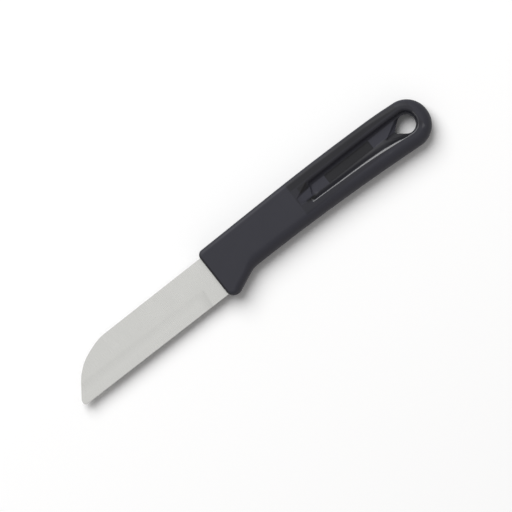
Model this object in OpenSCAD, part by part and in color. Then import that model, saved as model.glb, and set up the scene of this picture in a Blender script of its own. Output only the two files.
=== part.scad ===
// Paring knife: a stamped and ground sheepsfoot blade whose hidden tang is held in a one-piece moulded handle.
// The knife lies flat on one side of the handle. X runs from the tip to the butt, Y from the cutting edge
// to the spine, and Z up through the thickness. All sizes are in millimetres.

/* [Blade] */
// Length of the blade in front of the handle
blade_length = 75; // [65:1:90]
// Height of the blade where it leaves the handle
heel_height = 18.95; // [17.5:0.05:20]
// Height of the blade near the tip, which is a little lower
tip_height = 18.45; // [17.4:0.05:19]
// Thickness of the steel strip
blade_thickness = 1.2; // [0.8:0.1:2]
// Distance from the tip back to where the spine starts to drop
drop_length = 21.4; // [19:0.2:26]
// First angle of the drop from the spine
drop_angle = 19; // [15:1:22]
// Height of the blunt nose above the cutting edge
nose_height = 2.3; // [2:0.1:4]
// Height of the ground face above the cutting edge
grind_height = 7.9; // [5:0.1:12]
// Unground length between the handle and the ground face
ricasso = 7.1; // [4:0.1:12]
// Height of the fine bevel along the cutting edge
bevel_height = 0.7; // [0.4:0.1:1.2]

/* [Tang] */
// Length of the tang inside the handle
tang_length = 43; // [36:1:44]
// Width of the tang behind its shoulders
tang_width = 11; // [8:0.5:12]
// Diameter of the holes that the plastic of the handle fills
lock_hole = 5; // [3:0.5:6]

/* [Handle] */
// Length of the handle
handle_length = 111.6; // [104:0.2:124]
// Thickness between the two flat sides
handle_thickness = 9; // [8:0.5:12]
// How far the crest of the back stands above the spine of the blade
back_height = 2.85; // [2.2:0.05:4]
// Depth of the grip below the spine of the blade
grip_depth = 16.8; // [16:0.1:18]
// Angle at which the belly deepens towards the butt
belly_angle = 4.4; // [3.6:0.1:5]
// Angle of the guard's rear flank
guard_angle = 23.5; // [18:0.5:28]
// How far the guard's corner reaches below the grip, before its nose is rounded
guard_drop = 6.5; // [5:0.1:8]
// Radius of the guard's nose
guard_radius = 3.7; // [3:0.1:4.5]

/* [Recess] */
// Distance from the front of the handle to the start of the ramp into the recess
recess_start = 46.4; // [45.5:0.1:48]
// Length of the ramp
ramp_length = 7.2; // [5:0.1:9]
// Depth of the recess floor below the flat side
recess_depth = 2.6; // [2:0.1:3]
// Step at the foot of the ramp
ramp_step = 0.6; // [0.3:0.1:1]
// Width of the recess floor
floor_width = 3.9; // [3.4:0.1:4.4]
// Length of the plain panel sunk in the floor
panel_length = 23; // [15:0.5:25]
// Depth of the panel
panel_depth = 0.35; // [0.2:0.05:0.6]

/* [Hang hole] */
// Radius of the round end of the hole
hole_radius = 4; // [3.4:0.1:4.1]
// Radius of the pointed end
hole_tip_radius = 1.25; // [0.8:0.05:1.6]
// Distance between the centres of the two ends
hole_reach = 4.5; // [4:0.1:5]

/* [Hidden] */

// The spine of the blade is the line y = 0, the front face of the handle is x = 0,
// and z = 0 is the middle plane of the blade and the handle.

// Blade
drop_end = blade_length - drop_length;
drop_radius = 19.8;
second_run = 12.6;
second_radius = 22.6;
nose_radius = 2.5;
tip_radius = 1.1;
edge_thickness = 0.1;
bevel_thickness = 0.4;
plunge_length = 0.8;
plunge_lean = 6;

// Tang
shoulder_x = 3.2;
shoulder_radius = 0.6;
tang_y = -7.4;
tang_end_radius = 3;
lock_hole_places = [0.33 * tang_length, 0.74 * tang_length];
edge_slope = (heel_height - tip_height) / (blade_length + shoulder_x);

// Handle outline
handle_half = handle_thickness / 2;
front_radius = 2.5;
root_radius = 12.4;
belly_radius = 1000;
back_rear_radius = 200;
crest_radius = 1100;
belly_x = 0.5475 * handle_length;
crest_x = 0.528 * handle_length;
back_rear_x = 0.833 * handle_length;
back_front_angle = 0.53;
back_mid_angle = 1.64;
back_rear_angle = 5.1;
front_y = back_height - crest_x * tan(back_front_angle);
back_rear_y = back_height - (back_rear_x - crest_x) * tan(back_mid_angle);
butt_top_y = back_rear_y - (handle_length - back_rear_x) * tan(back_rear_angle);
butt_low_y = -grip_depth - (handle_length - belly_x) * tan(belly_angle);
// The two corners of the butt have one radius, a hair less than what would make them meet
butt_fit = 0.995;
butt_spread = tan(45 - back_rear_angle / 2) + tan(45 + belly_angle / 2);
butt_radius = butt_fit * (butt_top_y - butt_low_y) / butt_spread;
// Steps of the rounding between a flat side and the outline
round_steps = 6;

// Hang hole, and the funnel that leads into it from the floor of the recess
hole_x = handle_length - 10.3;
hole_y = -9.05;
hole_facets = 64;
// The straight walls cross the round ones a hair inside their tangents
hole_tuck = 0.998;
funnel_facets = 32;
funnel_rim = 0.15;
funnel_inset = 0.2;
// The funnel takes up this share of the plastic between the floor of the recess and the middle plane
funnel_share = 0.6;
funnel_depth = funnel_share * (handle_thickness / 2 - recess_depth);
funnel_tip = [-9.4, 0.3];
funnel_shoulder = [-2.9, 3.25, 0.9];
skin_thin = 0.01;

// Recess: its front, its bend, where it widens, and its end round the hole
floor_y = -6.67;
floor_half = floor_width / 2;
recess_x = recess_start + ramp_length;
floor_start = recess_x + 0.3;
bend_x = hole_x - 22;
flare_x = hole_x - 11.8;
under_x = hole_x - 3;
recess_end = hole_x + 5.1;
floor_end = hole_x + hole_radius + 0.35;
ramp_depth = recess_depth - ramp_step;
rim_up = 5.1;
rim_down = 4.1;
rim_sag = 1;
rim_under = 4.75;
rim_over = 6.5;
rim_front_radius = 1.2;
rim_under_radius = 60;
rim_end_radius = 5.25;
end_sag = 0.75;
floor_under = hole_radius + 0.4;
floor_over = 4.5;
floor_front_radius = floor_half - 0.05;
floor_flare_radius = 3;
floor_end_radius = 4;
bend_radius = 250;
// The wall from the rim to the floor: a sloped lip, a steep part, and a scoop into the floor
lip_share = 0.38;
lip_depth = 0.5;
wall_share = 0.62;
wall_depth = 0.78 * recess_depth;
// Points along each long side of the recess
side_points = 14;
ramp_overlap = 0.55;
panel_gap = 0.2;
panel_x = 61.3;
panel_radius = 0.5;
overcut = 1;

// Outlines ---------------------------------------------------------------------------------------------

// A corner is [x, y, radius, steps]. The value of a side is the [width, height] of the rounding
// between that side and the flat sides of the handle. Points come as [place, outward ray, value].
function unit(v) = v / norm(v);
function spot(corner) = [corner[0], corner[1]];

function corner_arc(before, corner, after, value_in, value_out) =
    let (
        to_before = unit(spot(before) - spot(corner)),
        to_after = unit(spot(after) - spot(corner)),
        half = acos(to_before * to_after) / 2,
        radius = corner[2],
        centre = spot(corner) + unit(to_before + to_after) * radius / sin(half),
        first = spot(corner) + to_before * radius / tan(half) - centre,
        turn = cross(to_after, to_before) > 0 ? 1 : -1,
        start = atan2(first[1], first[0]),
        sweep = turn * (180 - 2 * half)
    )
    [for (k = [0 : corner[3]])
        let (
            share = k / corner[3],
            angle = start + sweep * share,
            ray = [cos(angle), sin(angle)]
        )
        [centre + radius * ray, turn * ray, value_in * (1 - share) + value_out * share]];

// Corners run counter-clockwise, and values[i] belongs to the side from corner i to the next one
function rounded(corners, values) =
    let (n = len(corners))
    [for (i = [0 : n - 1])
        each corner_arc(corners[(i + n - 1) % n], corners[i], corners[(i + 1) % n],
            values[(i + n - 1) % n], values[i])];

function outline(corners) =
    [for (p = rounded(corners, [for (c = corners) [0, 0]])) p[0]];

// The points that come from one corner of an outline
function corner_points(corners, i) =
    let (n = len(corners))
    [for (p = corner_arc(corners[(i + n - 1) % n], corners[i], corners[(i + 1) % n], 0, 0)) p[0]];

function at_height(points, z) = [for (p = points) [p[0], p[1], z]];

// The number of the last point that comes from a corner of an outline
function last_point(corners, i) = i < 0 ? -1 : last_point(corners, i - 1) + corners[i][3] + 1;

// Faces of a closed skin over stacked rings of n points. Both caps are fans of triangles round one point,
// the hub, which has a clear line to each of the others.
function skin_faces(n, rings, hub) = concat(
    [for (i = [1 : n - 2]) [hub, (hub + i) % n, (hub + i + 1) % n]],
    [for (j = [0 : rings - 2], i = [0 : n - 1])
        each [
            [j * n + i, (j + 1) * n + i, (j + 1) * n + (i + 1) % n],
            [j * n + i, (j + 1) * n + (i + 1) % n, j * n + (i + 1) % n]
        ]],
    [for (i = [1 : n - 2], top = [(rings - 1) * n]) [top + hub, top + (hub + i + 1) % n, top + (hub + i) % n]]
);

module skin(rings, hub = 0) {
    polyhedron(
        points = [for (ring = rings) each ring],
        faces = skin_faces(len(rings[0]), len(rings), hub),
        convexity = 8
    );
}

module both_sides() {
    children();
    mirror([0, 0, 1])
    children();
}

// Blade ------------------------------------------------------------------------------------------------

blank_corners = [
    [-drop_end, 0, drop_radius, 6],
    [-drop_end - second_run, -second_run * tan(drop_angle), second_radius, 10],
    [-blade_length, nose_height - tip_height, nose_radius, 4],
    [-blade_length, -tip_height, tip_radius, 5],
    [shoulder_x, -heel_height, shoulder_radius, 4],
    [shoulder_x, tang_y - tang_width / 2, shoulder_radius, 4],
    [tang_length, tang_y - tang_width / 2, tang_end_radius, 6],
    [tang_length, tang_y + tang_width / 2, tang_end_radius, 6],
    [shoulder_x, tang_y + tang_width / 2, shoulder_radius, 4],
    [shoulder_x, 0, shoulder_radius, 4]
];

// The strip as it is stamped, at full thickness
module blank() {
    difference() {
        translate([0, 0, -blade_thickness / 2])
        linear_extrude(blade_thickness)
        polygon(outline(blank_corners));
        for (x = lock_hole_places)
            translate([x, tang_y, -blade_thickness])
            cylinder(h = 2 * blade_thickness, d = lock_hole, $fn = 48);
    }
}

// A section of what the wheel grinds off one side. Amount is 1 on the ground face and 0 at the plunge line.
function grind_ring(x, amount) =
    let (
        edge = (shoulder_x - x) * edge_slope - heel_height,
        half = blade_thickness / 2,
        bevel_z = half + amount * (bevel_thickness / 2 - half),
        edge_z = half + amount * (edge_thickness / 2 - half),
        below = 0.2,
        below_z = edge_z - amount * (bevel_thickness - edge_thickness) / 2 * below / bevel_height,
        section = [
            [edge + bevel_height, bevel_z],
            [edge + grind_height, half],
            [edge + grind_height, half + overcut],
            [edge - below, half + overcut],
            [edge - below, below_z]
        ]
    )
    [for (p = section) [x + (p[0] - edge - grind_height) * tan(plunge_lean), p[0], p[1]]];

module grind() {
    skin([
        grind_ring(-blade_length - overcut, 1),
        grind_ring(-ricasso - plunge_length, 1),
        grind_ring(-ricasso, 0)
    ]);
}

// Handle -----------------------------------------------------------------------------------------------

handle_corners = [
    [0, -grip_depth - guard_drop, guard_radius, 9],
    [guard_drop / tan(guard_angle), -grip_depth, root_radius, 5],
    [belly_x, -grip_depth, belly_radius, 7],
    [handle_length, butt_low_y, butt_radius, 12],
    [handle_length, butt_top_y, butt_radius, 12],
    [back_rear_x, back_rear_y, back_rear_radius, 4],
    [crest_x, back_height, crest_radius, 10],
    [0, front_y, front_radius, 6]
];

crest_corner = 6;

// Small rounding in front and along the back, wide along the guard, the belly and the butt
handle_rounding = [
    [guard_radius - 0.3, 0.75 * handle_half],
    [5, 0.93 * handle_half],
    [4.6, 0.9 * handle_half],
    [3.8, 0.86 * handle_half],
    [2.6, 0.5 * handle_half],
    [2, 0.4 * handle_half],
    [1.8, 0.36 * handle_half],
    [0.6, 0.1 * handle_half]
];

// The outline drawn in towards the flat side, by a quarter turn of the rounding
function handle_ring(points, angle, side) = [
    for (p = points)
        let (place = p[0] - p[1] * p[2][0] * (1 - cos(angle)))
        [place[0], place[1], side * (handle_half - p[2][1] * (1 - sin(angle)))]
];

module handle_form() {
    points = rounded(handle_corners, handle_rounding);
    angles = [for (k = [0 : round_steps]) 90 * k / round_steps];
    rings = concat(
        [for (k = [round_steps : -1 : 0]) handle_ring(points, angles[k], -1)],
        [for (angle = angles) handle_ring(points, angle, 1)]
    );
    skin(rings, last_point(handle_corners, crest_corner));
}

// The rim and the floor of the recess have the same seven corners: front, bend, under the hole and end
// along the belly, and then end, bend and front along the back
rim_corners = [
    [recess_x, floor_y - rim_down, rim_front_radius, 4],
    [bend_x, floor_y - rim_down - rim_sag, bend_radius, 3],
    [under_x, hole_y - rim_under, rim_under_radius, 3],
    [recess_end, hole_y - rim_under - end_sag, rim_end_radius, 9],
    [recess_end, hole_y + rim_over, rim_end_radius, 9],
    [bend_x, floor_y + rim_up, bend_radius, 3],
    [recess_x, floor_y + rim_up, rim_front_radius, 4]
];

floor_corners = [
    [floor_start, floor_y - floor_half, floor_front_radius, 4],
    [flare_x, floor_y - floor_half, floor_flare_radius, 3],
    [under_x, hole_y - floor_under, floor_flare_radius, 3],
    [floor_end, hole_y - floor_under, floor_end_radius, 9],
    [floor_end, hole_y + floor_over, floor_end_radius, 9],
    [bend_x, floor_y + floor_half, bend_radius, 3],
    [floor_start, floor_y + floor_half, floor_front_radius, 4]
];

// Points at equal steps along x, between the first and the last point of a line
function resampled(points) =
    let (first = points[0][0], run = points[len(points) - 1][0] - first)
    [for (k = [1 : side_points])
        let (x = first + run * k / (side_points + 1))
        [x, lookup(x, points)]];

// A loop whose points face those of the other loop, so that the wall is ruled straight across
function recess_loop(corners) =
    let (arcs = [for (i = [0 : 6]) corner_points(corners, i)])
    concat(
        arcs[0],
        resampled(concat([arcs[0][len(arcs[0]) - 1]], arcs[1], arcs[2], [arcs[3][0]])),
        arcs[3],
        arcs[4],
        resampled(concat([arcs[4][len(arcs[4]) - 1]], arcs[5], [arcs[6][0]])),
        arcs[6]
    );

module trough() {
    rim = recess_loop(rim_corners);
    floor_edge = recess_loop(floor_corners);
    wall = rim * (1 - wall_share) + floor_edge * wall_share;
    lip = rim * (1 - lip_share) + floor_edge * lip_share;
    rings = [
        at_height(floor_edge, handle_half - recess_depth),
        at_height(wall, handle_half - wall_depth),
        at_height(lip, handle_half - lip_depth),
        at_height(2 * rim - lip, handle_half + lip_depth)
    ];
    // The middle of the last corner by the hole looks along the whole recess
    hub = len(rim) - len(corner_points(rim_corners, 6)) - side_points - len(corner_points(rim_corners, 4)) / 2 - 1;
    skin(rings, hub);
}

// The ramp is one section slid down a slope, so that its sides open out as it sinks
function ramp_ring(x) =
    let (
        z = handle_half - (x - recess_start) * ramp_depth / ramp_length,
        top = handle_half + overcut,
        rise = (top - z) / ramp_depth
    )
    [
        [x, floor_y - floor_half, z],
        [x, floor_y + floor_half, z],
        [x, floor_y + floor_half + (rim_up - floor_half) * rise, top],
        [x, floor_y - floor_half - (rim_down - floor_half) * rise, top]
    ];

module ramp() {
    skin([ramp_ring(recess_start - overcut), ramp_ring(recess_x + ramp_overlap)]);
}

// The bare place in the middle of the floor
module panel() {
    low = floor_y - floor_half + panel_gap;
    high = floor_y + floor_half - panel_gap;
    corners = [
        [panel_x, low, panel_radius, 3],
        [panel_x + panel_length, low, panel_radius, 3],
        [panel_x + panel_length, high, panel_radius, 3],
        [panel_x, high, panel_radius, 3]
    ];
    translate([0, 0, handle_half - recess_depth - panel_depth])
    linear_extrude(2 * panel_depth)
    polygon(outline(corners));
}

module funnel() {
    top = handle_half - recess_depth;
    translate([hole_x, hole_y, top])
    hull() {
        cylinder(h = 0.1, r = hole_radius + funnel_rim, $fn = funnel_facets);
        translate([funnel_tip[0], 0, 0])
        cylinder(h = 0.1, r = funnel_tip[1], $fn = funnel_facets);
        for (side = [-1, 1])
            translate([funnel_shoulder[0], side * funnel_shoulder[1], 0])
            cylinder(h = 0.1, r = funnel_shoulder[2], $fn = funnel_facets);
        translate([0, 0, -funnel_depth])
        cylinder(h = skin_thin, r = hole_radius - funnel_inset, $fn = funnel_facets);
        translate([-hole_reach, 0, -funnel_depth])
        cylinder(h = skin_thin, r = hole_tip_radius - funnel_inset, $fn = funnel_facets);
    }
}

// Two round ends joined by their common tangents
module hang_hole() {
    lean = acos((hole_radius - hole_tip_radius) / hole_reach);
    ray = [-cos(lean), sin(lean)];
    mirrored = [ray[0], -ray[1]];
    tip = [-hole_reach, 0];
    translate([hole_x, hole_y, -handle_half])
    union() {
        cylinder(h = handle_thickness, r = hole_radius, $fn = hole_facets);
        translate([-hole_reach, 0, 0])
        cylinder(h = handle_thickness, r = hole_tip_radius, $fn = hole_facets);
        linear_extrude(handle_thickness)
        polygon([
            hole_tuck * hole_radius * ray,
            tip + hole_tuck * hole_tip_radius * ray,
            tip + hole_tuck * hole_tip_radius * mirrored,
            hole_tuck * hole_radius * mirrored
        ]);
    }
}

// Placing ----------------------------------------------------------------------------------------------

// The origin is the middle of the knife's box, on the surface that it lies on
handle_ys = [for (p = outline(handle_corners)) p[1]];
middle_x = (handle_length - blade_length) / 2;
middle_y = (max(handle_ys) + min(handle_ys)) / 2;

module placed() {
    translate([-middle_x, -middle_y, handle_half])
    children();
}

module blade() {
    color([0.8, 0.8, 0.78])
    placed()
    difference() {
        blank();
        both_sides() grind();
    }
}

module handle() {
    color([0.14, 0.14, 0.155])
    placed()
    difference() {
        handle_form();
        blank();
        hang_hole();
        both_sides() {
            ramp();
            trough();
            panel();
            funnel();
        }
    }
}

blade();
handle();
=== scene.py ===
"""Paring knife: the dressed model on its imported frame, with its floor, light and camera.

Every size in the tables below is in millimetres, in the part's own coordinates: the spine of the blade is
the line y = 0, the front face of the handle is x = 0, and z = 0 is the middle plane of the knife.
"""

import math

import bmesh
import bpy
import numpy as np
from mathutils import Matrix, Vector


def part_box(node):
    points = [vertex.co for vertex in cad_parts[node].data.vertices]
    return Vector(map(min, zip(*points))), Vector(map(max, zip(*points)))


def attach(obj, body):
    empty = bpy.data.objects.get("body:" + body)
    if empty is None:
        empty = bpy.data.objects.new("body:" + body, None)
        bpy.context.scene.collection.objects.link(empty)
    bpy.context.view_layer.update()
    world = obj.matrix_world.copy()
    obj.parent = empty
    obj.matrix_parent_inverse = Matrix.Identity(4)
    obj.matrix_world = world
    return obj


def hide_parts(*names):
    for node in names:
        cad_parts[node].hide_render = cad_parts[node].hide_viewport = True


bl_info = {
    "name": "Paring knife",
    "version": (1, 0, 0),
    "blender": (4, 5, 0),
    "location": "3D View > Sidebar > Paring knife",
    "description": "Builds a paring knife with a satin blade and a moulded handle",
    "category": "Add Mesh",
}

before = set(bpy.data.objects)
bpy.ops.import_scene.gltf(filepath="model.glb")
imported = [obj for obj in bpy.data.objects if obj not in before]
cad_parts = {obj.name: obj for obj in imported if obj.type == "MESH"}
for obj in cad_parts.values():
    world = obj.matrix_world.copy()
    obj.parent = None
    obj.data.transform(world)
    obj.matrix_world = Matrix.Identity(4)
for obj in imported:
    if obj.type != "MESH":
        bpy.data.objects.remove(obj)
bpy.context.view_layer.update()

MM = 0.001
BLADE_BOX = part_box("blade")
HANDLE_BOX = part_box("handle")
THICKNESS = (HANDLE_BOX[1][2] - HANDLE_BOX[0][2]) / MM
HALF = THICKNESS / 2
HANDLE_LENGTH = (HANDLE_BOX[1][0] - HANDLE_BOX[0][0]) / MM
BLADE_LENGTH = (HANDLE_BOX[0][0] - BLADE_BOX[0][0]) / MM
BLADE_HALF = (BLADE_BOX[1][2] - BLADE_BOX[0][2]) / MM / 2
OUTER = 0.02


# Outlines -----------------------------------------------------------------------------------------------


def tan(degrees):
    return math.tan(math.radians(degrees))


def unit(v):
    return v / np.linalg.norm(v)


def corner_arc(before, corner, after, value_in, value_out, fine):
    """Points of one rounded corner: rows of x, y, outward ray x, ray y and the two values."""
    spot, radius = np.array(corner[:2], float), corner[2]
    to_before, to_after = unit(np.array(before[:2]) - spot), unit(np.array(after[:2]) - spot)
    half = math.acos(max(-1.0, min(1.0, to_before @ to_after))) / 2
    centre = spot + unit(to_before + to_after) * radius / math.sin(half)
    first = spot + to_before * radius / math.tan(half) - centre
    turn = 1 if to_after[0] * to_before[1] - to_after[1] * to_before[0] > 0 else -1
    start, sweep = math.atan2(first[1], first[0]), turn * (math.pi - 2 * half)
    steps = corner[3] * fine
    rows = []
    for k in range(steps + 1):
        share = k / steps
        angle = start + sweep * share
        ray = np.array((math.cos(angle), math.sin(angle)))
        value = np.array(value_in) * (1 - share) + np.array(value_out) * share
        rows.append(np.concatenate((centre + radius * ray, turn * ray, value)))
    return rows


def rounded(corners, values=None, fine=1):
    """The outline through rounded corners, counter-clockwise. values[i] belongs to the side after corner i."""
    n = len(corners)
    values = values or [(0, 0)] * n
    rows = []
    for i in range(n):
        rows += corner_arc(corners[i - 1], corners[i], corners[(i + 1) % n], values[i - 1], values[i], fine)
    return np.array(rows)


# The rows of a corner table are x, y, radius and how finely the corner is divided.
DROP_X = 21.4 - BLADE_LENGTH
DROP_RUN = 12.6
DROP_SLOPE = 19
EDGE_Y = -18.95
EDGE_RISE = 0.5
SHOULDER_X = 3.2
TANG_X = 43
TANG_TOP_Y = -1.9
TANG_LOW_Y = -12.9
TANG_Y = (TANG_TOP_Y + TANG_LOW_Y) / 2
LOCK_HOLES = (14.19, 31.82)
LOCK_RADIUS = 2.5

BLANK_CORNERS = [
    (DROP_X, 0, 19.8, 6),
    (DROP_X - DROP_RUN, -DROP_RUN * tan(DROP_SLOPE), 22.6, 10),
    (-BLADE_LENGTH, -16.15, 2.5, 4),
    (-BLADE_LENGTH, EDGE_Y + EDGE_RISE, 1.1, 5),
    (SHOULDER_X, EDGE_Y, 0.6, 4),
    (SHOULDER_X, TANG_LOW_Y, 0.6, 4),
    (TANG_X, TANG_LOW_Y, 3, 6),
    (TANG_X, TANG_TOP_Y, 3, 6),
    (SHOULDER_X, TANG_TOP_Y, 0.6, 4),
    (SHOULDER_X, 0, 0.6, 4),
]

# What the wheel grinds off: heights are above the cutting edge.
GRIND_HEIGHT = 7.9
BEVEL_HEIGHT = 0.7
BEVEL_HALF = 0.2
EDGE_HALF = 0.05
BELOW_EDGE = 0.2
PLUNGE_FOOT_X = -7.95
PLUNGE_X = -7.05
PLUNGE_LEAN = 6
# Where painted light makes the ground face of the blade lighter.
GROUND_PAINTED_LIGHT_ZONE = ((-BLADE_LENGTH - 6, -24, 0), (-12.2, -14.6, 1), 3.6)

BACK_HEIGHT = 2.85
GRIP_DEPTH = 16.8
CREST_X = 0.528 * HANDLE_LENGTH
BACK_REAR_X = 0.833 * HANDLE_LENGTH
BELLY_X = 0.5475 * HANDLE_LENGTH
FRONT_Y = BACK_HEIGHT - CREST_X * tan(0.53)
BACK_REAR_Y = BACK_HEIGHT - (BACK_REAR_X - CREST_X) * tan(1.64)
BUTT_TOP_SLOPE = 5.1
BUTT_LOW_SLOPE = 4.4
BUTT_TOP_Y = BACK_REAR_Y - (HANDLE_LENGTH - BACK_REAR_X) * tan(BUTT_TOP_SLOPE)
BUTT_LOW_Y = -GRIP_DEPTH - (HANDLE_LENGTH - BELLY_X) * tan(BUTT_LOW_SLOPE)
BUTT_SPREAD = tan(45 - BUTT_TOP_SLOPE / 2) + tan(45 + BUTT_LOW_SLOPE / 2)
BUTT_RADIUS = 0.995 * (BUTT_TOP_Y - BUTT_LOW_Y) / BUTT_SPREAD
GUARD_DROP = 6.5
GUARD_SLOPE = 23.5

HANDLE_CORNERS = [
    (0, -GRIP_DEPTH - GUARD_DROP, 3.7, 9),
    (GUARD_DROP / tan(GUARD_SLOPE), -GRIP_DEPTH, 12.4, 5),
    (BELLY_X, -GRIP_DEPTH, 1000, 7),
    (HANDLE_LENGTH, BUTT_LOW_Y, BUTT_RADIUS, 12),
    (HANDLE_LENGTH, BUTT_TOP_Y, BUTT_RADIUS, 12),
    (BACK_REAR_X, BACK_REAR_Y, 200, 4),
    (CREST_X, BACK_HEIGHT, 1100, 6),
    (0, FRONT_Y, 2.5, 6),
]
# How far the rounding reaches in from the outline and down from the flat, on the side after each corner.
HANDLE_ROUNDING = [
    (3.4, 0.75 * HALF),
    (5, 0.93 * HALF),
    (4.6, 0.9 * HALF),
    (3.8, 0.86 * HALF),
    (2.6, 0.5 * HALF),
    (2, 0.4 * HALF),
    (1.8, 0.36 * HALF),
    (1.1, 0.22 * HALF),
]

FLOOR_Y = -6.67
FLOOR_HALF = 1.95
RECESS_START = 46.4
RECESS_X = 53.6
DEPTH = 2.6
RAMP_DEPTH = 2.0
RAMP_STEP = 0.2
RAMP_HALF = 1.1
RIM_UP = 4.75
RIM_DOWN = 3.75
HOLE_X = HANDLE_LENGTH - 10.3
HOLE_Y = -9.05
HOLE_RADIUS = 4.0
TIP_RADIUS = 1.25
TIP_REACH = 4.5
BEND_X = HOLE_X - 22
UNDER_X = HOLE_X - 3

RIM_CORNERS = [
    (RECESS_X - 3.5, FLOOR_Y - RIM_DOWN, 0.9, 4),
    (BEND_X, FLOOR_Y - RIM_DOWN - 1, 250, 3),
    (UNDER_X, HOLE_Y - 4.45, 60, 3),
    (HOLE_X + 5.1, HOLE_Y - 5.2, 5.25, 9),
    (HOLE_X + 5.1, HOLE_Y + 6.5, 5.25, 9),
    (BEND_X, FLOOR_Y + RIM_UP, 250, 3),
    (RECESS_X, FLOOR_Y + RIM_UP, 1.2, 4),
]
FLOOR_CORNERS = [
    (RECESS_X + 0.3, FLOOR_Y - FLOOR_HALF, 1.9, 4),
    (HOLE_X - 11.8, FLOOR_Y - FLOOR_HALF, 3, 3),
    (UNDER_X, HOLE_Y - 4.15, 3, 3),
    (HOLE_X + 4.35, HOLE_Y - 4.15, 4, 9),
    (HOLE_X + 4.35, HOLE_Y + 4.5, 4, 9),
    (BEND_X, FLOOR_Y + FLOOR_HALF, 250, 3),
    (RECESS_X + 0.3, FLOOR_Y + FLOOR_HALF, 1.9, 4),
]
LIP_WIDTH = 0.8
LIP_DEPTH = 0.36
LIP_REACH = ((RECESS_X - 2.5, 72, -11.7), (72, 88, -12.9), (88, HOLE_X + 5.5, -14.5))
WALL_SHARE = 0.62
WALL_DEPTH = 0.78 * DEPTH
RIM_OVERLAP = 0.35
FLOOR_OVERLAP = 0.45
RAMP_OVERLAP = 0.55
FUNNEL_DEPTH = 0.6 * (HALF - DEPTH)
FUNNEL_TIP = (HOLE_X - 10.8, HOLE_Y - 0.5, 0.3)
FUNNEL_SIDE_X = HOLE_X - 2.9
FUNNEL_SIDE_REACH = 3.25
FUNNEL_SIDE_RADIUS = 0.9
PANEL =(61.3, 84.3, FLOOR_Y - FLOOR_HALF + 0.2, FLOOR_Y + FLOOR_HALF - 0.2)
PANEL_DEPTH = 0.35

ys = rounded(HANDLE_CORNERS)[:, 1]
MIDDLE = Vector(((HANDLE_LENGTH - BLADE_LENGTH) / 2, (ys.max() + ys.min()) / 2, -HALF))


# Meshes -------------------------------------------------------------------------------------------------


def at_height(points, z):
    return np.column_stack((points[:, :2], np.full(len(points), z)))


def finished(name, bm):
    """A mesh object from a bmesh, still in millimetres, with its faces turned outwards."""
    bmesh.ops.recalc_face_normals(bm, faces=bm.faces)
    mesh = bpy.data.meshes.new(name)
    bm.to_mesh(mesh)
    bm.free()
    obj = bpy.data.objects.new(name, mesh)
    bpy.context.scene.collection.objects.link(obj)
    return obj


def lofted(name, rings):
    """A closed mesh through stacked rings that have the same number of points."""
    bm = bmesh.new()
    rows = [[bm.verts.new(p) for p in ring] for ring in rings]
    n = len(rows[0])
    for low, high in zip(rows, rows[1:]):
        for i in range(n):
            j = (i + 1) % n
            bm.faces.new((low[i], low[j], high[j], high[i]))
    bm.faces.new(rows[0][::-1])
    bm.faces.new(rows[-1])
    return finished(name, bm)


def hull_of(name, points):
    bm = bmesh.new()
    for p in points:
        bm.verts.new(p)
    found = bmesh.ops.convex_hull(bm, input=bm.verts)
    loose = {v for v in found["geom_interior"] + found["geom_unused"] if isinstance(v, bmesh.types.BMVert)}
    bmesh.ops.delete(bm, geom=list(loose), context="VERTS")
    bmesh.ops.dissolve_limit(bm, angle_limit=math.radians(0.5), verts=bm.verts, edges=bm.edges)
    return finished(name, bm)


def circle(x, y, z, radius, n=64):
    turns = [2 * math.pi * k / n for k in range(n)]
    return [(x + radius * math.cos(t), y + radius * math.sin(t), z) for t in turns]


def mirrored(points, side):
    return np.array(points) * (1, 1, side)


def cut(body, cutters):
    """Takes the cutters out of the body, one after the other, and deletes them."""
    for cutter in cutters:
        step = body.modifiers.new("cut", "BOOLEAN")
        step.operation, step.solver, step.object = "DIFFERENCE", "EXACT", cutter
        bpy.context.view_layer.update()
        result = bpy.data.meshes.new_from_object(body.evaluated_get(bpy.context.evaluated_depsgraph_get()))
        body.modifiers.clear()
        body.data = result
        bpy.data.objects.remove(cutter)


def placed(obj, node, angle):
    """Brings the mesh to the frame, in metres, and fits it to the box of its node, which its finer arcs
    would pass by a few microns. Its shading is smooth apart from edges over the angle, with normals led by
    the large faces."""
    obj.data.transform(Matrix.Scale(MM, 4) @ Matrix.Translation(-MIDDLE))
    points = np.empty(len(obj.data.vertices) * 3)
    obj.data.vertices.foreach_get("co", points)
    points = points.reshape(-1, 3)
    low, high = (np.array(corner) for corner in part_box(node))
    points = low + (points - points.min(0)) * (high - low) / (points.max(0) - points.min(0))
    obj.data.vertices.foreach_set("co", points.ravel())
    for polygon in obj.data.polygons:
        polygon.use_smooth = True
    obj.data.set_sharp_from_angle(angle=math.radians(angle))
    weighted = obj.modifiers.new("weighted normals", "WEIGHTED_NORMAL")
    weighted.keep_sharp = True
    weighted.weight = 80


# Blade --------------------------------------------------------------------------------------------------


def blank(name, half):
    """The strip as it is stamped, with the tang and its holes."""
    points = rounded(BLANK_CORNERS, fine=3)
    strip = lofted(name, [at_height(points, -half), at_height(points, half)])
    pegs = [lofted("peg", [circle(x, TANG_Y, z, LOCK_RADIUS) for z in (-3, 3)]) for x in LOCK_HOLES]
    cut(strip, pegs)
    return strip


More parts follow.
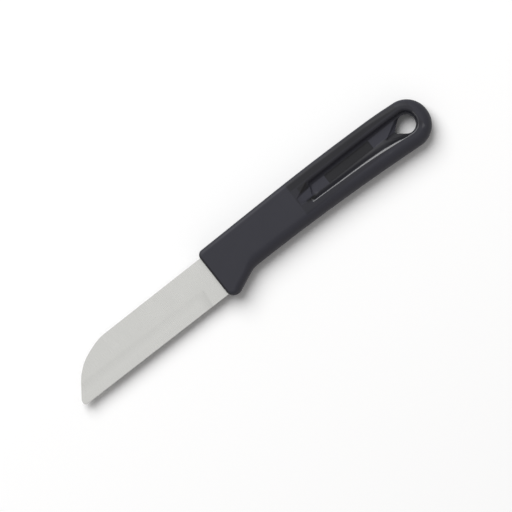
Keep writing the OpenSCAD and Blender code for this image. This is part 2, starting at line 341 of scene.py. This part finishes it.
def grind_ring(x, amount, side):
    """A section of what the wheel grinds off one side: amount is 1 on the ground face, 0 at the plunge."""
    edge = EDGE_Y + (SHOULDER_X - x) * EDGE_RISE / (BLADE_LENGTH + SHOULDER_X)
    bevel_z = BLADE_HALF + amount * (BEVEL_HALF - BLADE_HALF)
    edge_z = BLADE_HALF + amount * (EDGE_HALF - BLADE_HALF)
    below_z = edge_z - amount * (BEVEL_HALF - EDGE_HALF) * BELOW_EDGE / BEVEL_HEIGHT
    clear_z = BLADE_HALF + 1
    section = [
        (BEVEL_HEIGHT, bevel_z),
        (GRIND_HEIGHT, BLADE_HALF),
        (GRIND_HEIGHT, clear_z),
        (-BELOW_EDGE, clear_z),
        (-BELOW_EDGE, below_z),
    ]
    return [(x + (h - GRIND_HEIGHT) * tan(PLUNGE_LEAN), edge + h, side * z) for h, z in section]


def make_blade():
    blade = blank("blade_ground", BLADE_HALF)
    stations = ((-BLADE_LENGTH - 1, 1), (PLUNGE_FOOT_X, 1), (PLUNGE_X, 0))
    cut(blade, [lofted("grind", [grind_ring(x, a, side) for x, a in stations]) for side in (-1, 1)])
    placed(blade, "blade", 12)
    blade.data.materials.clear()
    blade.data.materials.append(steel_material())
    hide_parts("blade")
    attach(blade, "root")


# Handle -------------------------------------------------------------------------------------------------


def handle_rings(steps=12):
    points = rounded(HANDLE_CORNERS, HANDLE_ROUNDING, fine=3)
    rings = []
    for side in (-1, 1):
        angles = [math.pi / 2 * k / steps for k in range(steps + 1)]
        for angle in angles if side > 0 else angles[::-1]:
            place = points[:, :2] - points[:, 2:4] * points[:, 4:5] * (1 - math.cos(angle))
            z = side * (HALF - points[:, 5] * (1 - math.sin(angle)))
            rings.append(np.column_stack((place, z)))
    return rings


def resampled(points, n):
    """The n inner points of a line at equal steps along x, between its first and last points."""
    x = np.linspace(points[0, 0], points[-1, 0], n + 2)[1:-1]
    order = np.argsort(points[:, 0])
    return np.column_stack((x, np.interp(x, points[order, 0], points[order, 1])))


def recess_loop(corners, n=60, fine=3):
    """A loop of the recess whose points face those of the other loops: both long sides go by x."""
    arcs, outline = [], rounded(corners, fine=fine)[:, :2]
    for corner in corners:
        count = corner[3] * fine + 1
        arcs.append(outline[:count])
        outline = outline[count:]
    front_low, end_low, end_up, front_up = arcs[0], arcs[3], arcs[4], arcs[6]
    low = resampled(np.vstack((front_low[-1:], arcs[1], arcs[2], end_low[:1])), n)
    high = resampled(np.vstack((end_up[-1:], arcs[5], front_up[:1])), n)
    return np.vstack((front_low, low, end_low, end_up, high, front_up))


def outward(loop):
    along = np.roll(loop, -1, 0) - np.roll(loop, 1, 0)
    along /= np.linalg.norm(along, axis=1)[:, None]
    return np.column_stack((along[:, 1], -along[:, 0]))


def softened(rails, steps=5):
    """Rails with short curves in place of some. Such a rail is its points, and the shares of the
    neighbouring strips that its curve takes."""
    rings = []
    for i, (p, *shares) in enumerate(rails):
        if not shares:
            rings.append(p)
            continue
        a, b = p + (rails[i - 1][0] - p) * shares[0], p + (rails[i + 1][0] - p) * shares[1]
        for k in range(steps + 1):
            t = k / steps
            rings.append(a * (1 - t) ** 2 + p * 2 * t * (1 - t) + b * t * t)
    return rings


def trough(side):
    """The wall runs from the rim over a sloped lip and a steep part to a scoop into the floor."""
    rim, floor = recess_loop(RIM_CORNERS), recess_loop(FLOOR_CORNERS)
    inward = floor - rim
    lip = rim + inward * np.minimum(0.5, LIP_WIDTH / np.linalg.norm(inward, axis=1))[:, None]
    rails = [
        (at_height(rim + outward(rim) * RIM_OVERLAP, side * (HALF + OUTER)),),
        (at_height(rim, side * HALF), 0.85, 0.45),
        (at_height(lip, side * (HALF - LIP_DEPTH)), 0.3, 0.15),
        (at_height(rim * (1 - WALL_SHARE) + floor * WALL_SHARE, side * (HALF - WALL_DEPTH)), 0.5, 0.5),
        (at_height(floor, side * (HALF - DEPTH)),),
        (at_height(floor - outward(floor) * FLOOR_OVERLAP, side * (HALF - DEPTH)),),
    ]
    return lofted("trough", softened(rails))


def ramp(side):
    """One section slid down a slope, so that its sides open out as it sinks. It starts with a small step."""
    top = HALF + 1
    rings = []
    for x, half, z in (
        (RECESS_START - 0.35, RAMP_HALF, HALF + 0.03),
        (RECESS_START, RAMP_HALF, HALF - RAMP_STEP),
        (RECESS_X + RAMP_OVERLAP, FLOOR_HALF, HALF - RAMP_DEPTH),
    ):
        rise = (top - z) / RAMP_DEPTH
        up, down = (RIM_UP - FLOOR_HALF) * rise, (RIM_DOWN - FLOOR_HALF) * rise
        section = [
            (x, FLOOR_Y - half, z),
            (x, FLOOR_Y + half, z),
            (x, FLOOR_Y + half + up, top),
            (x, FLOOR_Y - half - down, top),
        ]
        rings.append(mirrored(section, side))
    return lofted("ramp", rings)


def panel(side):
    x0, x1, y0, y1 = PANEL
    points = rounded([(x0, y0, 0.5, 4), (x1, y0, 0.5, 4), (x1, y1, 0.5, 4), (x0, y1, 0.5, 4)])
    bottom, top = HALF - DEPTH - PANEL_DEPTH, HALF - DEPTH + 0.3
    return lofted("panel", [at_height(points, side * z) for z in (bottom, top)])


def funnel(side):
    top, low = HALF - DEPTH, HALF - DEPTH - FUNNEL_DEPTH
    tip_x, tip_y, tip_radius = FUNNEL_TIP
    points = []
    for z in (top, top + 0.1):
        points += circle(HOLE_X, HOLE_Y, z, HOLE_RADIUS + 0.15)
        points += circle(tip_x, tip_y, z, tip_radius, 16)
        for up in (-FUNNEL_SIDE_REACH, FUNNEL_SIDE_REACH):
            points += circle(FUNNEL_SIDE_X, HOLE_Y + up, z, FUNNEL_SIDE_RADIUS, 32)
    points += circle(HOLE_X, HOLE_Y, low, HOLE_RADIUS - 0.2)
    points += circle(HOLE_X - TIP_REACH, HOLE_Y, low, TIP_RADIUS - 0.2)
    return hull_of("funnel", mirrored(points, side))


def hang_hole():
    points = []
    for z in (-HALF - 1, HALF + 1):
        points += circle(HOLE_X, HOLE_Y, z, HOLE_RADIUS, 96)
        points += circle(HOLE_X - TIP_REACH, HOLE_Y, z, TIP_RADIUS, 48)
    return hull_of("hang_hole", points)


def make_handle():
    handle = lofted("handle_moulded", handle_rings())
    cutters = [blank("pocket", BLADE_HALF)]
    for side in (-1, 1):
        cutters += [trough(side), ramp(side), panel(side), funnel(side)]
    cutters.append(hang_hole())
    cut(handle, cutters)
    placed(handle, "handle", 24)
    handle.data.materials.clear()
    handle.data.materials.append(plastic_material())
    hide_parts("handle")
    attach(handle, "root")


# Materials ----------------------------------------------------------------------------------------------


def new_material(name):
    material = bpy.data.materials.new(name)
    material.use_nodes = True
    tree = material.node_tree
    tree.nodes.clear()
    shader = tree.nodes.new("ShaderNodeBsdfPrincipled")
    out = tree.nodes.new("ShaderNodeOutputMaterial")
    tree.links.new(shader.outputs["BSDF"], out.inputs["Surface"])
    return material, tree, shader


def add_node(tree, kind, inputs=(), **settings):
    """A node with its settings. The inputs go by name or number: an output is linked, a value is set."""
    node = tree.nodes.new("ShaderNode" + kind)
    for key, value in settings.items():
        setattr(node, key, value)
    for key, value in dict(inputs).items():
        if isinstance(value, bpy.types.NodeSocket):
            tree.links.new(value, node.inputs[key])
        else:
            node.inputs[key].default_value = value
    return node


def maths(tree, operation, *values, clamp=False):
    return add_node(tree, "Math", enumerate(values), operation=operation, use_clamp=clamp).outputs[0]


def vector_maths(tree, operation, *values):
    return add_node(tree, "VectorMath", enumerate(values), operation=operation).outputs[0]


def shaded(tree, colour, factor):
    """The colour made lighter or darker by a factor that changes over the surface."""
    tint = add_node(tree, "CombineXYZ", {0: factor, 1: factor, 2: factor}).outputs[0]
    return vector_maths(tree, "MULTIPLY", colour, tint)


def shared_group(name, inputs, outputs, fill):
    """The node group of that name, made by fill on its first use."""
    group = bpy.data.node_groups.get(name)
    if group is None:
        group = bpy.data.node_groups.new(name, "ShaderNodeTree")
        for label, kind, default in inputs:
            socket = group.interface.new_socket(name=label, in_out="INPUT", socket_type="NodeSocket" + kind)
            socket.default_value = default
        for label in outputs:
            group.interface.new_socket(name=label, in_out="OUTPUT", socket_type="NodeSocketFloat")
        entry, leave = group.nodes.new("NodeGroupInput"), group.nodes.new("NodeGroupOutput")
        for label, value in fill(group, entry.outputs).items():
            group.links.new(value, leave.inputs[label])
    return group


def placed_group(tree, group, **values):
    node = tree.nodes.new("ShaderNodeGroup")
    node.node_tree = group
    for key, value in values.items():
        socket = node.inputs[key.replace("_", " ")]
        if isinstance(value, bpy.types.NodeSocket):
            tree.links.new(value, socket)
        else:
            socket.default_value = value
    return node.outputs


def fine_grain(tree, **values):
    """Small marks from a tool or a mould. Size holds the length of the marks in each direction."""

    def fill(group, given):
        spot = add_node(group, "TexCoord").outputs["Object"]
        stretched = vector_maths(group, "DIVIDE", spot, given["Size"])
        marks = add_node(group, "TexNoise", {"Vector": stretched, "Scale": 1.0, "Detail": 3.0,
                                             "Roughness": 0.55})
        sharp = add_node(group, "MapRange", {"Value": marks.outputs[0], "From Min": 0.3, "From Max": 0.7})
        patches = add_node(group, "TexNoise", {"Vector": spot, "Scale": given["Patch Scale"], "Detail": 2.0})
        strength = add_node(group, "MapRange", {"Value": patches.outputs[0], "From Min": 0.3, "From Max": 0.7,
                                                "To Min": 0.6, "To Max": 1.0})
        return {"Marks": maths(group, "MULTIPLY", sharp.outputs[0], strength.outputs[0])}

    inputs = (("Size", "Vector", (0.001, 0.001, 0.001)), ("Patch Scale", "Float", 100.0))
    return placed_group(tree, shared_group("Fine grain", inputs, ("Marks",), fill), **values)["Marks"]


def handling(tree, **values):
    """Soft smudges that handling leaves, from 0 to 1, with a half in the middle."""

    def fill(group, given):
        spot = add_node(group, "TexCoord").outputs["Object"]
        cloud = add_node(group, "TexNoise", {"Vector": spot, "Scale": given["Scale"], "Detail": 3.0,
                                             "Roughness": 0.5, "Distortion": 0.4})
        spread = add_node(group, "MapRange", {"Value": cloud.outputs[0], "From Min": 0.32, "From Max": 0.68})
        return {"Smudge": spread.outputs[0]}

    inputs = (("Scale", "Float", 60.0),)
    return placed_group(tree, shared_group("Handling", inputs, ("Smudge",), fill), **values)["Smudge"]


def zone(tree, low, high, soft):
    """A mask that is 1 inside a box, in the millimetres of the tables above, with z as the distance from
    the middle plane. It fades out over soft millimetres on the outside."""

    def fill(group, given):
        spot = add_node(group, "TexCoord").outputs["Object"]
        spot = vector_maths(group, "SUBTRACT", spot, given["Middle"])
        x, y, z = add_node(group, "SeparateXYZ", {0: spot}).outputs
        spot = add_node(group, "CombineXYZ", {0: x, 1: y, 2: maths(group, "ABSOLUTE", z)}).outputs[0]
        mask = None
        for first, second in ((spot, given["Low"]), (given["High"], spot)):
            gap = vector_maths(group, "SUBTRACT", first, second)
            for axis in add_node(group, "SeparateXYZ", {0: gap}).outputs:
                share = maths(group, "ADD", maths(group, "DIVIDE", axis, given["Soft"]), 1.0, clamp=True)
                mask = share if mask is None else maths(group, "MULTIPLY", mask, share)
        return {"Mask": mask}

    inputs = (("Middle", "Vector", (0, 0, 0)), ("Low", "Vector", (0, 0, 0)), ("High", "Vector", (0, 0, 0)),
              ("Soft", "Float", 0.001))
    group = shared_group("Zone", inputs, ("Mask",), fill)
    corners = {"Low": Vector(low) * MM, "High": Vector(high) * MM}
    return placed_group(tree, group, Middle=-MIDDLE * MM, **corners, Soft=soft * MM)["Mask"]


def changed(tree, start, *steps):
    """A value that each mask moves by its own amount."""
    for mask, amount in steps:
        start = maths(tree, "MULTIPLY_ADD", mask, amount, start)
    return start


def steel_material():
    """Steel ground across the blade, with faint smudges and painted light on the ground face, which is made
    slightly lighter.
    """
    blade = bpy.context.scene.knife_blade
    material, tree, shader = new_material("Satin blade steel")
    strokes = fine_grain(tree, Size=(blade.grain_width, blade.grain_length, blade.grain_length), Patch_Scale=80)
    smudge = handling(tree, Scale=55)
    # Painted light: the ground face is made lighter to stand in for the light it catches.
    ground = zone(tree, *GROUND_PAINTED_LIGHT_ZONE)
    light = changed(tree, 0.985, (strokes, 0.03), (smudge, -0.015), (ground, 0.09))
    tree.links.new(shaded(tree, blade.colour, light), shader.inputs["Base Color"])
    shader.inputs["Metallic"].default_value = 1
    rough = changed(tree, blade.roughness, (strokes, 0.04), (smudge, 0.02))
    tree.links.new(rough, shader.inputs["Roughness"])
    bump = add_node(tree, "Bump", {"Height": strokes, "Distance": blade.grain_depth, "Strength": 1.0})
    tree.links.new(bump.outputs[0], shader.inputs["Normal"])
    return material


def plastic_material():
    """Black moulded plastic: a fine matte skin, a polished lower rim along the recess, and painted light and
    shade:
    each part of the handle has a tint of its own, darker for painted shade on the front edge, round the recess,
    on the sides of the recess and on its sunk panel, and lighter for painted light on the floor of the recess.
    The tints were fitted by average to one photograph."""
    handle = bpy.context.scene.knife_handle
    material, tree, shader = new_material("Moulded black plastic")
    pits = fine_grain(tree, Size=(handle.grain_size,) * 3, Patch_Scale=120)
    smudge = handling(tree, Scale=70)
    x0, x1, y0, y1 = PANEL
    lip = 0.0
    for start, end, low in LIP_REACH:
        part = zone(tree, (start, low, HALF - 0.5), (end, FLOOR_Y, HALF - 0.006), 0.005)
        lip = maths(tree, "MAXIMUM", part, lip)
    # Painted shade: the skin round the recess and the land above it are made darker than the front skin.
    rear = zone(tree, (RECESS_START - 0.3, -13, HALF - 0.3), (HANDLE_LENGTH - 5, 1.5, HALF), 0.5)
    shoulder = zone(tree, (RECESS_START, FLOOR_Y + RIM_UP + 0.7, HALF - 0.3), (HOLE_X, 1.5, HALF), 0.5)
    floor_low, floor_high = FLOOR_Y - FLOOR_HALF, FLOOR_Y + FLOOR_HALF
    # Painted light: the floor of the recess and its front ramp are made lighter than the skin.
    landing = zone(tree, (RECESS_X, floor_low, 0), (HOLE_X - 4, floor_high, HALF - DEPTH + 0.1), 0.2)
    slope_low = (RECESS_START + 0.2, floor_low, HALF - RAMP_DEPTH - 0.1)
    slope = zone(tree, slope_low, (RECESS_X, floor_high, HALF), 0.2)
    # Painted shade: the sides of the ramp and the foot of the lower wall are made darker, as shade inside the
    # recess.
    side_start, side_end, side_top = RECESS_START + 3, RECESS_X - 0.4, HALF - 0.15
    upper_side = zone(tree, (side_start, floor_high - 0.1, 0), (side_end, FLOOR_Y + 4.4, side_top), 0.6)
    lower_side = zone(tree, (side_start, FLOOR_Y - 2.8, 0), (side_end, floor_low + 0.1, side_top), 0.6)
    foot = zone(tree, (RECESS_X - 2.7, HOLE_Y - 5, 0), (HOLE_X - 1, floor_low - 0.1, HALF - 0.5), 0.15)
    # Painted shade: the sunk panel in the floor of the recess is made darker.
    plate = zone(tree, (x0, floor_low, 0), (x1, floor_high, HALF - DEPTH + 0.1), 0.15)
    # Painted shade: the front edge of the handle, where it meets the blade, is made darker.
    front = zone(tree, (-1, -GRIP_DEPTH - 8, 0), (0.5, BACK_HEIGHT + 1, HALF), 0.5)
    light = changed(tree, 0.97, (pits, 0.06), (smudge, 0.05), (front, handle.front_painted_shade),
                    (rear, handle.rear_painted_shade), (shoulder, handle.rear_painted_shade), (landing, handle.landing_painted_light),
                    (slope, handle.landing_painted_light), (foot, handle.side_painted_shade), (upper_side, handle.side_painted_shade),
                    (lower_side, handle.side_painted_shade), (plate, handle.panel_painted_shade - handle.landing_painted_light))
    # Tints add up where zones overlap, so the sum is kept above zero.
    light = maths(tree, "MAXIMUM", light, 0.1)
    tree.links.new(shaded(tree, handle.colour, light), shader.inputs["Base Color"])
    rough = changed(tree, handle.roughness, (pits, 0.05), (smudge, -0.05))
    tree.links.new(rough, shader.inputs["Roughness"])
    shader.inputs["Specular IOR Level"].default_value = 0.25
    tree.links.new(maths(tree, "MULTIPLY", lip, handle.polish), shader.inputs["Coat Weight"])
    shader.inputs["Coat Roughness"].default_value = 0.16
    bump = add_node(tree, "Bump", {"Height": pits, "Distance": handle.grain_depth, "Strength": 1.0})
    tree.links.new(bump.outputs[0], shader.inputs["Normal"])
    return material


# Stage --------------------------------------------------------------------------------------------------


def area_light(name, turn, elevation, distance, size, radiance, colour=(1, 1, 1)):
    """A round lamp aimed at the knife. Turn is its direction from +Y towards -X, and radiance is what a
    mirror would show of it, as a share of white."""
    lamp = bpy.data.lights.new(name, "AREA")
    lamp.shape, lamp.size = "DISK", size
    lamp.energy = radiance * math.pi * math.pi * size * size / 4
    lamp.color = colour
    obj = bpy.data.objects.new(name, lamp)
    turn, elevation = math.radians(turn), math.radians(elevation)
    level = math.cos(elevation)
    back = Vector((-math.sin(turn) * level, math.cos(turn) * level, math.sin(elevation)))
    obj.location = back * distance
    obj.rotation_euler = (-back).to_track_quat("-Z", "Y").to_euler()
    obj.visible_camera = False
    bpy.context.scene.collection.objects.link(obj)


FRAME_WIDTH = 211.6
CAMERA_SPOT = (18.71, -13.53)
CAMERA_ROLL = -38.2
LENS = 250
SENSOR_WIDTH = 36


def make_stage():
    scene = bpy.context.scene
    stage = scene.knife_stage
    scene.view_settings.view_transform = "Standard"

    bm = bmesh.new()
    bmesh.ops.create_grid(bm, x_segments=1, y_segments=1, size=3)
    mesh = bpy.data.meshes.new("floor")
    bm.to_mesh(mesh)
    bm.free()
    floor = bpy.data.objects.new("floor", mesh)
    floor.location.z = -0.0002
    scene.collection.objects.link(floor)
    material, tree, shader = new_material("Pale floor")
    shader.inputs["Base Color"].default_value = (*stage.floor, 1)
    shader.inputs["Roughness"].default_value = 1
    shader.inputs["Specular IOR Level"].default_value = 0
    floor.data.materials.append(material)

    world = bpy.data.worlds.new("Soft surround")
    world.use_nodes = True
    tree, backdrop = world.node_tree, world.node_tree.nodes["Background"]
    rays = add_node(tree, "LightPath").outputs
    seen = maths(tree, "MAXIMUM", rays["Is Camera Ray"], rays["Is Glossy Ray"])
    seen = maths(tree, "MAXIMUM", seen, rays["Is Transmission Ray"])
    backdrop.inputs["Color"].default_value = (1, 1, 1, 1)
    strength = changed(tree, stage.surround, (seen, 1 - stage.surround))
    tree.links.new(strength, backdrop.inputs["Strength"])
    scene.world = world

    key_height = math.degrees(stage.key_height)
    area_light("key", turn=0, elevation=key_height, distance=2.8, size=2.5, radiance=stage.key)
    area_light("warm fill", turn=190, elevation=14, distance=2.4, size=1, radiance=0.6, colour=(1, 0.6, 0.4))

    camera_data = bpy.data.cameras.new("camera")
    camera = bpy.data.objects.new("camera", camera_data)
    scene.collection.objects.link(camera)
    scene.camera = camera
    camera_data.lens, camera_data.sensor_width = LENS, SENSOR_WIDTH
    camera_data.clip_start, camera_data.clip_end = 0.05, 20
    distance = FRAME_WIDTH * LENS / SENSOR_WIDTH
    camera.location = (Vector((*CAMERA_SPOT, distance)) - MIDDLE) * MM
    camera.rotation_euler = (0, 0, math.radians(CAMERA_ROLL))


# Add-on -------------------------------------------------------------------------------------------------


class KnifeBlade(bpy.types.PropertyGroup):
    colour: bpy.props.FloatVectorProperty(
        name="Steel", description="Colour of the ground steel", subtype="COLOR", size=3, min=0, max=1,
        default=(0.518, 0.517, 0.5))
    roughness: bpy.props.FloatProperty(
        name="Roughness", description="Roughness of the satin finish", subtype="FACTOR", min=0.05, max=1,
        default=0.24)
    grain_width: bpy.props.FloatProperty(
        name="Stroke width", description="Width of the grinding strokes", unit="LENGTH", min=1e-5, max=1e-3,
        default=0.00012)
    grain_length: bpy.props.FloatProperty(
        name="Stroke length", description="Length of the grinding strokes, across the blade", unit="LENGTH",
        min=1e-4, max=0.02, default=0.005)
    grain_depth: bpy.props.FloatProperty(
        name="Stroke depth", description="Depth of the grinding strokes", unit="LENGTH", min=0, max=1e-4,
        default=4e-7)


class KnifeHandle(bpy.types.PropertyGroup):
    colour: bpy.props.FloatVectorProperty(
        name="Plastic", description="Colour of the moulded plastic", subtype="COLOR", size=3, min=0, max=1,
        default=(0.0195, 0.0195, 0.0265))
    roughness: bpy.props.FloatProperty(
        name="Skin roughness", description="Roughness of the matte skin", subtype="FACTOR", min=0.05, max=1,
        default=0.55)
    polish: bpy.props.FloatProperty(
        name="Rim polish", description="How much gloss the lower rim of the recess has", subtype="FACTOR",
        min=0, max=1, default=0.95)
    # Painted shade on the front edge of the handle next to the blade.
    front_painted_shade: bpy.props.FloatProperty(
        name="Front tint", description="How much lighter the front edge is than the skin behind it", min=-1,
        max=1, default=-0.7)
    # Painted shade on the skin round the recess.
    rear_painted_shade: bpy.props.FloatProperty(
        name="Rear tint", description="How much lighter the skin round the recess is than the front skin",
        min=-1, max=1, default=-0.34)
    # Painted light on the floor of the recess.
    landing_painted_light: bpy.props.FloatProperty(
        name="Landing tint", description="How much lighter the floor of the recess is than the front skin",
        min=-1, max=1, default=0.33)
    # Painted shade on the low sides of the recess.
    side_painted_shade: bpy.props.FloatProperty(
        name="Side tint", description="How much lighter the low sides of the recess are than the front skin",
        min=-1, max=1, default=-0.6)
    # Painted shade on the sunk panel.
    panel_painted_shade: bpy.props.FloatProperty(
        name="Panel tint", description="How much lighter the sunk panel is than the front skin", min=-1, max=1,
        default=-0.74)
    grain_size: bpy.props.FloatProperty(
        name="Grain size", description="Size of the pits in the skin", unit="LENGTH", min=2e-5, max=2e-3,
        default=0.0003)
    grain_depth: bpy.props.FloatProperty(
        name="Grain depth", description="Depth of the pits in the skin", unit="LENGTH", min=0, max=1e-4,
        default=8e-6)


class KnifeStage(bpy.types.PropertyGroup):
    floor: bpy.props.FloatVectorProperty(
        name="Floor", description="Colour of the floor", subtype="COLOR", size=3, min=0, max=1,
        default=(1, 1, 1))
    surround: bpy.props.FloatProperty(
        name="Surround", description="Light from all round, as a share of white", min=0, max=1, default=0.3)
    key: bpy.props.FloatProperty(
        name="Key", description="How bright the face of the main lamp is, as a multiple of white", min=0,
        max=20, default=5.5)
    key_height: bpy.props.FloatProperty(
        name="Key height", description="Height of the main lamp over the floor", subtype="ANGLE", min=0.1,
        max=math.pi / 2, default=math.radians(50))


class PARINGKNIFE_OT_blade(bpy.types.Operator):
    """Build the ground blade with its tang"""

    bl_idname = "paring_knife.blade"
    bl_label = "Blade"

    def execute(self, context):
        make_blade()
        return {"FINISHED"}


class PARINGKNIFE_OT_handle(bpy.types.Operator):
    """Build the moulded handle"""

    bl_idname = "paring_knife.handle"
    bl_label = "Handle"

    def execute(self, context):
        make_handle()
        return {"FINISHED"}


class PARINGKNIFE_OT_stage(bpy.types.Operator):
    """Set the floor, the light and the camera"""

    bl_idname = "paring_knife.stage"
    bl_label = "Stage"

    def execute(self, context):
        make_stage()
        return {"FINISHED"}


class PARINGKNIFE_PT_panel(bpy.types.Panel):
    """Lists the builders of the knife"""

    bl_label = "Paring knife"
    bl_idname = "PARINGKNIFE_PT_panel"
    bl_space_type = "VIEW_3D"
    bl_region_type = "UI"
    bl_category = "Paring knife"

    def draw(self, context):
        for operator in OPERATORS:
            self.layout.operator(operator.bl_idname)


OPERATORS = (PARINGKNIFE_OT_blade, PARINGKNIFE_OT_handle, PARINGKNIFE_OT_stage)
SETTINGS = {"knife_blade": KnifeBlade, "knife_handle": KnifeHandle, "knife_stage": KnifeStage}
CLASSES = (*SETTINGS.values(), *OPERATORS, PARINGKNIFE_PT_panel)


def register():
    for cls in CLASSES:
        bpy.utils.register_class(cls)
    for name, group in SETTINGS.items():
        setattr(bpy.types.Scene, name, bpy.props.PointerProperty(type=group))


def unregister():
    for name in SETTINGS:
        delattr(bpy.types.Scene, name)
    for cls in reversed(CLASSES):
        bpy.utils.unregister_class(cls)


def main():
    register()
    bpy.ops.paring_knife.blade()
    bpy.ops.paring_knife.handle()
    bpy.ops.paring_knife.stage()
    bpy.context.view_layer.update()


if __name__ == "__main__":
    main()
